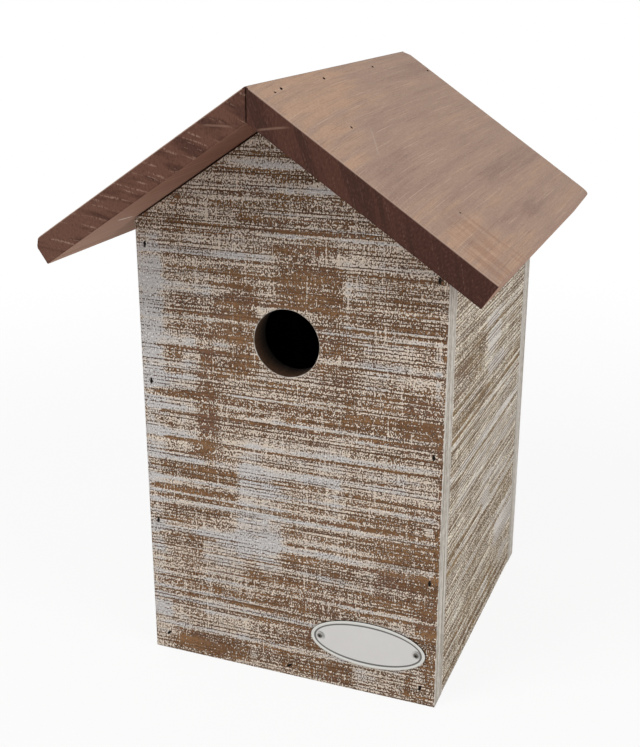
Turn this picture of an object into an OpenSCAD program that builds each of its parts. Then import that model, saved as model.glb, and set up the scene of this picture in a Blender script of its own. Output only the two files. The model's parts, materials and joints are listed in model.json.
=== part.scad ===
// Gabled nest box for small birds: whitewashed plywood panels, nailed round a floor, under two
// mitred roof boards.
// Frame: origin at the centre of the base, +Z up, the entrance hole faces -Y. Millimetres.

/* [Body] */
// Width over the front panel, between its two upright edges
body_w = 150; // [130:1:180]
// Depth from the front panel's outer face to the back panel's outer face
body_d = 168; // [140:1:200]
// Height of the front panel at its upright edges, where the roof slope starts
eave_h = 226; // [205:1:270]
// Thickness of the front and back panels
panel_t = 13; // [10:0.5:16]
// Thickness of the side walls
wall_t = 13; // [11:0.5:16]
// Thickness of the floor
floor_t = 13; // [11:0.5:16]

/* [Entrance] */
// Diameter of the round entrance hole
hole_d = 32; // [26:0.5:45]
// Height of the entrance hole's centre above the base
hole_z = 174; // [150:1:185]

/* [Roof] */
// Slope of both roof boards, from level
roof_pitch = 34; // [30:1:38]
// Thickness of the roof boards
roof_t = 12; // [10:0.5:16]
// Length of a roof board's top face from the ridge down to the eave
roof_slope = 126; // [115:1:150]
// How far the roof reaches past the front panel
roof_front = 38; // [30:1:60]
// How far the roof reaches past the back panel
roof_back = 0; // [0:1:20]

/* [Brads] */
// Length of a brad's head, along its mark in the wood
head_l = 2.8; // [2:0.1:3.4]
// Width of a brad's head
head_w = 1.4; // [1.2:0.1:2]
// Thickness of a brad's head
head_t = 0.8; // [0.5:0.1:1.2]
// Long side of a brad's shank
shank_l = 1.3; // [1:0.1:1.6]
// Short side of a brad's shank
shank_w = 1; // [0.8:0.1:1.1]
// How deep the brads are driven below the surface
sink = 1.2; // [0.5:0.1:2]
// Length of the brads through the front and back panels
panel_brad_l = 25; // [20:1:30]
// Length of the brads through the roof into the front and back panels
roof_brad_l = 18; // [16:1:20]
// Wood left between the underside of the left roof board and the tips of the brads across the mitre
tip_cover = 0.8; // [0.5:0.1:1.5]
// Distance of the upright rows of brads from the panel's edge
row_inset = 4.5; // [4:0.5:6]
// Height of the lowest brad in the left row
left_low = 73; // [50:1:95]
// Height of the middle brad in the left row
left_mid = 147; // [110:1:165]
// Drop from the eave to the top brad in the left row
left_drop = 12; // [8:1:25]
// Height of the lowest brad in the right row
right_low = 66; // [50:1:95]
// Height of the middle brad in the right row
right_mid = 129; // [110:1:165]
// Drop from the eave to the top brad in the right row
right_drop = 16; // [8:1:25]
// Distance of the two outer brads at the foot from the panel's edge
foot_inset = 7.5; // [7:0.5:9]
// Height of the two outer brads at the foot
foot_z = 9; // [7:0.5:14]
// Height of the brad into the floor
floor_brad_z = 5.5; // [4:0.5:7]
// Distance of the roof brads from the outer faces of the front and back panels
roof_brad_y = 4; // [3:0.5:6]
// Distance down the slope from the ridge to the upper roof brads at the front
upper_s = 35; // [30:1:50]
// Distance down the slope from the ridge to the roof brads at the back
back_s = 17; // [17:1:25]
// Distance down the slope from the ridge to the brads across the mitre
ridge_s = 5.5; // [4.5:0.5:6]
// Distance from the roof's front end to the first brad across the mitre
ridge_first = 25; // [15:1:32]
// Distance from the roof's front end to the second brad across the mitre
ridge_mid = 73; // [60:1:90]
// Distance from the roof's back end to the last brad across the mitre
ridge_last = 67; // [30:1:70]

/* [Name plate] */
// Length of the oval plate
plate_l = 58; // [50:1:60]
// Height of the oval plate
plate_h = 24; // [20:1:28]
// Thickness of the oval plate
plate_t = 0.9; // [0.7:0.1:1.5]
// Width of the plate's raised rim
rim_w = 2; // [1.5:0.1:3]
// Height of the rim above the plate's field
rim_rise = 0.3; // [0.2:0.05:0.5]
// Distance of the plate's centre from the front panel's right edge
plate_inset = 34; // [31:1:60]
// Height of the plate's centre
plate_z = 27; // [24:1:60]
// Distance of the two pins from the plate's ends
pin_inset = 4.6; // [4.2:0.1:7]
// Diameter of a pin's head
pin_head_d = 2.6; // [2:0.1:3.2]
// Height of a pin's head
pin_head_h = 0.4; // [0.3:0.1:0.8]
// Diameter of a pin's shank
pin_d = 1.2; // [1:0.1:1.6]
// Length of a pin under its head
pin_l = 9; // [6:0.5:9.5]

/* [Hidden] */

// Extra reach of a cut past the face that it opens
past = 1;
// Radial clearance of a pin's shank in its hole
pin_clear = 0.05;
whitewash = "#b3a894";
stain = "#8a6a5a";
steel = "#4a4644";
cream = "#cfccc4";

// Half sizes of the body
half_w = body_w / 2;
half_d = body_d / 2;
// Height of the front panel's peak, under the ridge
peak_z = eave_h + half_w * tan(roof_pitch);
// Height of the ridge's top edge
ridge_z = peak_z + roof_t / cos(roof_pitch);
// Shift along the slope between a point on a board's top face and the point below it
mitre_run = roof_t * tan(roof_pitch);
// Distance down the slope to the lower roof brads, over the panel's upright rows
lower_s = (half_w - row_inset) / cos(roof_pitch) + mitre_run;
roof_y0 = -half_d - roof_front;
roof_y1 = half_d + roof_back;
plate_x = half_w - plate_inset;
pin_x = plate_l / 2 - pin_inset;

// How far the brads across the mitre reach down, square to the right board's top face
ridge_reach = (roof_t - tip_cover - ridge_s * sin(2 * roof_pitch)) / cos(2 * roof_pitch);

// A brad is held as [entry point, rotation of the face it enters, turn of its mark, length]. In its
// own axes it points into the wood along -Z from its entry point, and its mark runs along X.

// Turns of the brads' marks: upright rows, the three brads at the foot, and the roof boards
row_turn = 90;
foot_turns = [45, 80, 30];
board_turn = 110;

// A brad through the front (side = -1) or back (side = 1) panel at x, z
function panel_brad(side, x, z, turn) = [[x, side * half_d, z], [side * -90, 0, 0], turn, panel_brad_l];
// A brad through the left (side = -1) or right (side = 1) roof board, s down the slope, at y
function roof_brad(side, s, y, l) = [
    [side * s * cos(roof_pitch), y, ridge_z - s * sin(roof_pitch)],
    [0, side * roof_pitch, 0],
    board_turn,
    l
];

function foot_brads(side) = [
    panel_brad(side, foot_inset - half_w, foot_z, foot_turns[0]),
    panel_brad(side, half_w - foot_inset, foot_z, foot_turns[1]),
    panel_brad(side, 0, floor_brad_z, foot_turns[2])
];
function row_brads(side, x, heights) = [for (z = heights) panel_brad(side, x, z, row_turn)];
function left_brads(side) =
    row_brads(side, row_inset - half_w, [left_low, left_mid, eave_h - left_drop]);
function right_brads(side) =
    row_brads(side, half_w - row_inset, [right_low, right_mid, eave_h - right_drop]);
function panel_brads(side) = concat(left_brads(side), right_brads(side), foot_brads(side));

front_roof_y = roof_brad_y - half_d;
back_roof_y = half_d - roof_brad_y;
ridge_brads = [
    for (y = [roof_y0 + ridge_first, roof_y0 + ridge_mid, roof_y1 - ridge_last])
        roof_brad(1, ridge_s, y, ridge_reach - sink)
];
function board_brads(side) = [
    roof_brad(side, upper_s, front_roof_y, roof_brad_l),
    roof_brad(side, lower_s, front_roof_y, roof_brad_l),
    roof_brad(side, back_s, back_roof_y, roof_brad_l)
];
both_boards = concat(board_brads(-1), board_brads(1));

// Moves a child from a brad's own axes to its place
module at_brad(brad) {
    translate(brad[0]) rotate(brad[1]) rotate([0, 0, brad[2]]) children();
}

module block(l, w, z0, z1) {
    translate([-l / 2, -w / 2, z0]) cube([l, w, z1 - z0]);
}

// One T-headed brad: a flat shank under a short bar
module brad(brad) {
    color(steel) at_brad(brad) {
        union() {
            block(head_l, head_w, -sink - head_t, -sink);
            block(shank_l, shank_w, -sink - brad[3], -sink - head_t);
        }
    }
}

// The cut that a driven brad leaves: its own form with the pit above its head
module brad_cuts(brads) {
    for (brad = brads) {
        at_brad(brad) {
            block(head_l, head_w, -sink - head_t, past);
            block(shank_l, shank_w, -sink - brad[3], -sink - head_t);
        }
    }
}

// Turns a drawing in X, Z into a plate from y0 to y1
module upright(y0, y1) {
    translate([0, y1, 0]) rotate([90, 0, 0]) linear_extrude(y1 - y0) children();
}

// Five-sided outline of the front and back panels
module gable_outline() {
    polygon([[-half_w, 0], [half_w, 0], [half_w, eave_h], [0, peak_z], [-half_w, eave_h]]);
}

// Cross-section of the right roof board, cut upright at the ridge and square at the eave
module board_outline() {
    slope_x = roof_slope * cos(roof_pitch);
    eave_z = ridge_z - roof_slope * sin(roof_pitch);
    polygon([
        [0, peak_z],
        [slope_x - roof_t * sin(roof_pitch), eave_z - roof_t * cos(roof_pitch)],
        [slope_x, eave_z],
        [0, ridge_z]
    ]);
}

// Cross-section of the right wall, its top bevelled to the roof's slope
module wall_outline() {
    polygon([
        [half_w - wall_t, 0],
        [half_w, 0],
        [half_w, eave_h],
        [half_w - wall_t, eave_h + wall_t * tan(roof_pitch)]
    ]);
}

module oval(l, h) {
    polygon([for (a = [0:5:355]) [l / 2 * cos(a), h / 2 * sin(a)]]);
}

// Moves a child drawn in X, Z round the plate's centre onto the front panel's face
module at_plate(x = 0) {
    translate([plate_x + x, -half_d, plate_z]) rotate([90, 0, 0]) children();
}

module front_panel() {
    color(whitewash) difference() {
        upright(-half_d, panel_t - half_d) gable_outline();
        translate([0, -half_d - past, hole_z]) rotate([-90, 0, 0])
            cylinder(h = panel_t + 2 * past, d = hole_d, $fn = 96);
        for (side = [-1, 1]) {
            at_plate(side * pin_x) translate([0, 0, plate_t - rim_rise - pin_l])
                cylinder(h = pin_l, d = pin_d + 2 * pin_clear, $fn = 24);
        }
        brad_cuts(panel_brads(-1));
        brad_cuts(both_boards);
    }
}

module back_panel() {
    color(whitewash) difference() {
        upright(half_d - panel_t, half_d) gable_outline();
        brad_cuts(panel_brads(1));
        brad_cuts(both_boards);
    }
}

module wall(side) {
    color(whitewash) difference() {
        mirror([side < 0 ? 1 : 0, 0, 0]) upright(panel_t - half_d, half_d - panel_t) wall_outline();
        brad_cuts(panel_brads(-1));
        brad_cuts(panel_brads(1));
    }
}

module left_wall() { wall(-1); }
module right_wall() { wall(1); }

module floor_panel() {
    color(whitewash) difference() {
        translate([wall_t - half_w, panel_t - half_d, 0])
            cube([body_w - 2 * wall_t, body_d - 2 * panel_t, floor_t]);
        brad_cuts(panel_brads(-1));
        brad_cuts(panel_brads(1));
    }
}

module roof_board(side) {
    color(stain) difference() {
        mirror([side < 0 ? 1 : 0, 0, 0]) upright(roof_y0, roof_y1) board_outline();
        brad_cuts(board_brads(side));
        brad_cuts(ridge_brads);
    }
}

module roof_left() { roof_board(-1); }
module roof_right() { roof_board(1); }

// Bare oval plate with a raised rim
module name_plate() {
    color(cream) at_plate() difference() {
        linear_extrude(plate_t) oval(plate_l, plate_h);
        translate([0, 0, plate_t - rim_rise])
            linear_extrude(rim_rise + past) oval(plate_l - 2 * rim_w, plate_h - 2 * rim_w);
        for (side = [-1, 1]) {
            translate([side * pin_x, 0, -past])
                cylinder(h = plate_t + 2 * past, d = pin_d + 2 * pin_clear, $fn = 24);
        }
    }
}

module plate_pin(side) {
    color(steel) at_plate(side * pin_x) translate([0, 0, plate_t - rim_rise]) {
        union() {
            cylinder(h = pin_head_h, d = pin_head_d, $fn = 32);
            translate([0, 0, -pin_l]) cylinder(h = pin_l, d = pin_d, $fn = 24);
        }
    }
}

module plate_pin_left() { plate_pin(-1); }
module plate_pin_right() { plate_pin(1); }

front_panel();
back_panel();
left_wall();
right_wall();
floor_panel();
roof_left();
roof_right();
name_plate();
plate_pin_left();
plate_pin_right();
brad(left_brads(-1)[0]);  // front_brad_left_low
brad(left_brads(-1)[1]);  // front_brad_left_mid
brad(left_brads(-1)[2]);  // front_brad_left_top
brad(right_brads(-1)[0]);  // front_brad_right_low
brad(right_brads(-1)[1]);  // front_brad_right_mid
brad(right_brads(-1)[2]);  // front_brad_right_top
brad(foot_brads(-1)[0]);  // front_brad_foot_left
brad(foot_brads(-1)[1]);  // front_brad_foot_right
brad(foot_brads(-1)[2]);  // front_brad_floor
brad(left_brads(1)[0]);  // back_brad_left_low
brad(left_brads(1)[1]);  // back_brad_left_mid
brad(left_brads(1)[2]);  // back_brad_left_top
brad(right_brads(1)[0]);  // back_brad_right_low
brad(right_brads(1)[1]);  // back_brad_right_mid
brad(right_brads(1)[2]);  // back_brad_right_top
brad(foot_brads(1)[0]);  // back_brad_foot_left
brad(foot_brads(1)[1]);  // back_brad_foot_right
brad(foot_brads(1)[2]);  // back_brad_floor
brad(ridge_brads[0]);  // ridge_brad_front
brad(ridge_brads[1]);  // ridge_brad_mid
brad(ridge_brads[2]);  // ridge_brad_back
brad(board_brads(-1)[0]);  // roof_brad_left_upper
brad(board_brads(-1)[1]);  // roof_brad_left_lower
brad(board_brads(-1)[2]);  // roof_brad_left_back
brad(board_brads(1)[0]);  // roof_brad_right_upper
brad(board_brads(1)[1]);  // roof_brad_right_lower
brad(board_brads(1)[2]);  // roof_brad_right_back
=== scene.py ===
"""Gabled nest box: whitewashed plywood panels nailed round a floor, under a mitred roof.

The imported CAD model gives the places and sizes. The panels, the roof boards, the plate and its
pins are made again here with their sawn, planed and painted surfaces; the brads and the floor
stay as they are and get their finish. Lengths are in metres.
"""

import json
import math

import bpy
import numpy as np
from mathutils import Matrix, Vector


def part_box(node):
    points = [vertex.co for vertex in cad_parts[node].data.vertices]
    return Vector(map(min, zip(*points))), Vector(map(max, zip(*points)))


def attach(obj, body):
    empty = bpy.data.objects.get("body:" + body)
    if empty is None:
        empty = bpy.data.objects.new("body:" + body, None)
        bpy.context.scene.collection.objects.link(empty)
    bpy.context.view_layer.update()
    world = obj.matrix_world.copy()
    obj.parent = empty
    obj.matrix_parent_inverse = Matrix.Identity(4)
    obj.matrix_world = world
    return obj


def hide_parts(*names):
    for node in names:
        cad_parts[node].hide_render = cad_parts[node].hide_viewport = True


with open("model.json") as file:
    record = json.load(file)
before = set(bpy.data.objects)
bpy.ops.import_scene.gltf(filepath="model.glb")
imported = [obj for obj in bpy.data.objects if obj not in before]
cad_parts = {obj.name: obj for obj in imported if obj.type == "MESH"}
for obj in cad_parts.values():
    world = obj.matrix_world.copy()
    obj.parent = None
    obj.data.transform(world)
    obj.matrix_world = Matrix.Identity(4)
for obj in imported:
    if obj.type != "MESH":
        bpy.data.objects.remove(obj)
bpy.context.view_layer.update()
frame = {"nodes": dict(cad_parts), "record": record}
MM = 0.001


# Camera, floor and light
# A plain studio: the box stands on a pale floor in a white room, and a broad soft lamp at the
# upper left leads a weaker one at the right. The floor keeps the box's soft shadow.

CAMERA_PLACE = (0.1987, -0.5467, 0.3366)
# The camera's turn to the left and its tilt below level, in degrees, and its lens in millimetres
CAMERA_TURN = 21.50
CAMERA_DOWN = 19.35
LENS = 56.52
LAMP_AIM = (0, 0, 0.14)
LAMP_SIZE = 0.9
ROOM_LIGHT = 0.5
FLOOR_HALF = 3.0
# How much of what the camera sees of the floor near the box is the floor's own white glow, and the
# distances from the middle of the box between which that share rises to all of it
FLOOR_WHITE = 0.88
FLOOR_FADE = (0.25, 0.8)


class Wire:
    """A shader socket written in sums: each operator adds the Math node that works it out."""

    def __init__(self, finish, socket):
        self.finish = finish
        self.socket = socket

    def math(self, operation, first, second):
        return self.finish.add("ShaderNodeMath", {"operation": operation}, {0: first, 1: second})

    def __add__(self, other):
        return self.math("ADD", self, other)

    def __radd__(self, other):
        return self.math("ADD", other, self)

    def __sub__(self, other):
        return self.math("SUBTRACT", self, other)

    def __rsub__(self, other):
        return self.math("SUBTRACT", other, self)

    def __mul__(self, other):
        return self.math("MULTIPLY", self, other)

    def __rmul__(self, other):
        return self.math("MULTIPLY", other, self)


class Finish:
    """The node tree of a material or the world: add() puts in a node and returns an output."""

    def __init__(self, owner):
        owner.use_nodes = True
        self.owner = owner
        self.tree = owner.node_tree
        self.tree.nodes.clear()

    def add(self, kind, settings=None, inputs=None, out=0):
        """A node of that kind. Its settings are set first, then its sockets' values or links."""
        node = self.tree.nodes.new(kind)
        for name, value in (settings or {}).items():
            setattr(node, name, value)
        for name, value in (inputs or {}).items():
            if isinstance(value, Wire):
                self.tree.links.new(value.socket, node.inputs[name])
            else:
                node.inputs[name].default_value = value
        return Wire(self, node.outputs[out]) if node.outputs else None

    def place(self):
        """Where the surface is, in metres."""
        return self.add("ShaderNodeTexCoord", out="Object")

    def axes(self, place):
        """The x, y and z of a place."""
        parts = self.add("ShaderNodeSeparateXYZ", None, {"Vector": place})
        return [Wire(self, output) for output in parts.socket.node.outputs]

    def held(self, name, out="Fac"):
        """A value that the mesh holds at its points."""
        return self.add("ShaderNodeAttribute", {"attribute_name": name}, None, out)

    def blend(self, mask, first, second):
        """first where mask is 0 and second where it is 1, for colours: a Mix node takes them at its
        sockets 6 and 7, and gives its own at output 2."""
        return self.add("ShaderNodeMix", {"data_type": "RGBA"}, {0: mask, 6: first, 7: second}, 2)

    def rise(self, value, low, high):
        """0 below low and 1 above high, with a smooth rise between; a fall if low is the higher."""
        settings = {"interpolation_type": "SMOOTHSTEP"}
        inputs = {"Value": value, "From Min": low, "From Max": high}
        return self.add("ShaderNodeMapRange", settings, inputs)

    def cloud(self, place, grain, detail=2.0, shift=0.0):
        """Noise round 0.5 whose lumps are about grain = (x, y, z) millimetres in size."""
        scale = [1 / (size * MM) for size in grain]
        moved = {"Vector": place, "Location": (shift, shift, shift), "Scale": scale}
        moved = self.add("ShaderNodeMapping", None, moved)
        inputs = {"Vector": moved, "Scale": 1.0, "Detail": detail}
        return self.add("ShaderNodeTexNoise", None, inputs)

    def skin(self, colour, rough, height, depth, **shine):
        """A surface of that colour and roughness, with height from 0 to 1 as a relief of depth."""
        relief = {"Strength": 1.0, "Distance": depth, "Height": height}
        bump = self.add("ShaderNodeBump", None, relief)
        inputs = {"Base Color": colour, "Roughness": rough, "Normal": bump, **shine}
        surface = self.add("ShaderNodeBsdfPrincipled", None, inputs)
        self.add("ShaderNodeOutputMaterial", None, {"Surface": surface})
        return self.owner


def paint(red, green, blue):
    """The linear colour of a paint or stain given in screen values from 0 to 255."""
    shares = [value / 255 for value in (red, green, blue)]
    linear = [s / 12.92 if s <= 0.04045 else ((s + 0.055) / 1.055) ** 2.4 for s in shares]
    return (*linear, 1.0)


def add_camera():
    """A camera at CAMERA_PLACE, level but for its tilt."""
    data = bpy.data.cameras.new("camera")
    data.sensor_width = 36.0
    data.lens = LENS
    data.clip_start = 0.01
    camera = bpy.data.objects.new("camera", data)
    camera.location = CAMERA_PLACE
    camera.rotation_euler = (math.radians(90 - CAMERA_DOWN), 0, math.radians(CAMERA_TURN))
    bpy.context.scene.collection.objects.link(camera)
    bpy.context.scene.camera = camera


def add_lamp(name, place, power):
    """A square soft lamp at place, aimed at the middle of the box."""
    data = bpy.data.lights.new(name, "AREA")
    data.size = LAMP_SIZE
    data.energy = power
    lamp = bpy.data.objects.new(name, data)
    lamp.location = place
    lamp.rotation_euler = (Vector(LAMP_AIM) - Vector(place)).to_track_quat("-Z", "Y").to_euler()
    bpy.context.scene.collection.objects.link(lamp)


def lay_floor():
    """A square of matt card that takes the box's shadow. What the camera sees is mostly a glow."""
    corners = [(FLOOR_HALF * x, FLOOR_HALF * y, 0) for x, y in ((-1, -1), (1, -1), (1, 1), (-1, 1))]
    mesh = bpy.data.meshes.new("studio_floor")
    mesh.from_pydata(corners, [], [(0, 1, 2, 3)])
    floor = bpy.data.objects.new("studio_floor", mesh)
    bpy.context.scene.collection.objects.link(floor)
    card = Finish(bpy.data.materials.new("floor card"))
    seen = card.add("ShaderNodeLightPath", out="Is Camera Ray")
    far = card.add("ShaderNodeVectorMath", {"operation": "LENGTH"}, {0: card.place()}, "Value")
    white = FLOOR_WHITE + card.rise(far, *FLOOR_FADE) * (1 - FLOOR_WHITE)
    matt = card.add("ShaderNodeBsdfDiffuse", None, {"Color": (0.8, 0.8, 0.8, 1.0)})
    glow = card.add("ShaderNodeEmission", None, {"Strength": 1.0})
    mix = card.add("ShaderNodeMixShader", None, {0: seen * white, 1: matt, 2: glow})
    card.add("ShaderNodeOutputMaterial", None, {"Surface": mix})
    mesh.materials.append(card.owner)


def light_room():
    """White to the camera and in reflections, and a soft even light on the box."""
    bpy.context.scene.world = bpy.data.worlds.new("white room")
    room = Finish(bpy.context.scene.world)
    kinds = ("Camera", "Glossy", "Transmission")
    rays = [room.add("ShaderNodeLightPath", out=f"Is {kind} Ray") for kind in kinds]
    seen = rays[0] + rays[1] + rays[2]
    strength = seen * (1 - ROOM_LIGHT) + ROOM_LIGHT
    inputs = {"Color": (1.0, 1.0, 1.0, 1.0), "Strength": strength}
    wall = room.add("ShaderNodeBackground", None, inputs)
    room.add("ShaderNodeOutputWorld", None, {"Surface": wall})


bpy.context.scene.view_settings.view_transform = "Standard"
add_camera()
lay_floor()
light_room()
add_lamp("key_lamp", (-0.8, -1.2, 1.6), 17.0)
add_lamp("fill_lamp", (1.6, -0.6, 0.9), 12.0)


# Front panel
# Rough-sawn plywood, stained brown and brushed with thin off-white paint that caught on the high
# bands and left the sawn grooves bare. The entrance hole is bored through it.

low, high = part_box("front_panel")
wall_low, wall_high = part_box("right_wall")
HALF_WIDTH = high.x
HALF_DEPTH = -low.y
PANEL_THICK = high.y - low.y
PEAK = high.z
SLOPE = (PEAK - wall_high.z) / wall_low.x
EAVE = PEAK - HALF_WIDTH * SLOPE
HOLE = next(m for m in frame["record"]["mounts"] if m["name"] == "entrance_hole")
HOLE_HEIGHT = HOLE["pos_m"][2]
HOLE_RADIUS = HOLE["dims"]["r_mm"] * MM

ARRIS = 0.45 * MM
ROOF_GAP = 0.55 * MM
SAW_DEPTH = 0.22 * MM
PIT_DEPTH = 1.5 * MM
PIT_HALF_LENGTH = 1.45 * MM
PIT_HALF_WIDTH = 0.6 * MM
# Where the gable's sloping edges would meet, and half the width at which its tip is cut level
CREST = PEAK - (ROOF_GAP + ARRIS) * math.hypot(1, SLOPE)
TIP_HALF = 0.6 * MM
# Distances from the middle of the gable at which brads stand
BRAD_COLUMNS = [0, 67.5 * MM, 70.5 * MM]
# Parts of a board's surface
FACE, EDGE, BARE = 0, 1, 2

# Load of the paint where nothing is placed, how much saw marks and brush strokes change it, and
# over how far the ends of the placed bands and patches fade
BASE_LOAD = 0.17
SAW_SHARE = 0.38
STROKE_SHARE = 0.35
BAND_FADE = 2.5 * MM
PATCH_FADE = 8 * MM
# The front's bare lines, up to LINE_HALF in half height, have LINE_GAIN times their load, but no
# less than BAREST. Its painted bands of at least BROAD_HALF have BROAD_GAIN times theirs.
LINE_HALF, LINE_GAIN, BAREST = 0.8, 1.6, -1.2
BROAD_HALF, BROAD_GAIN = 2, 0.75

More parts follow.
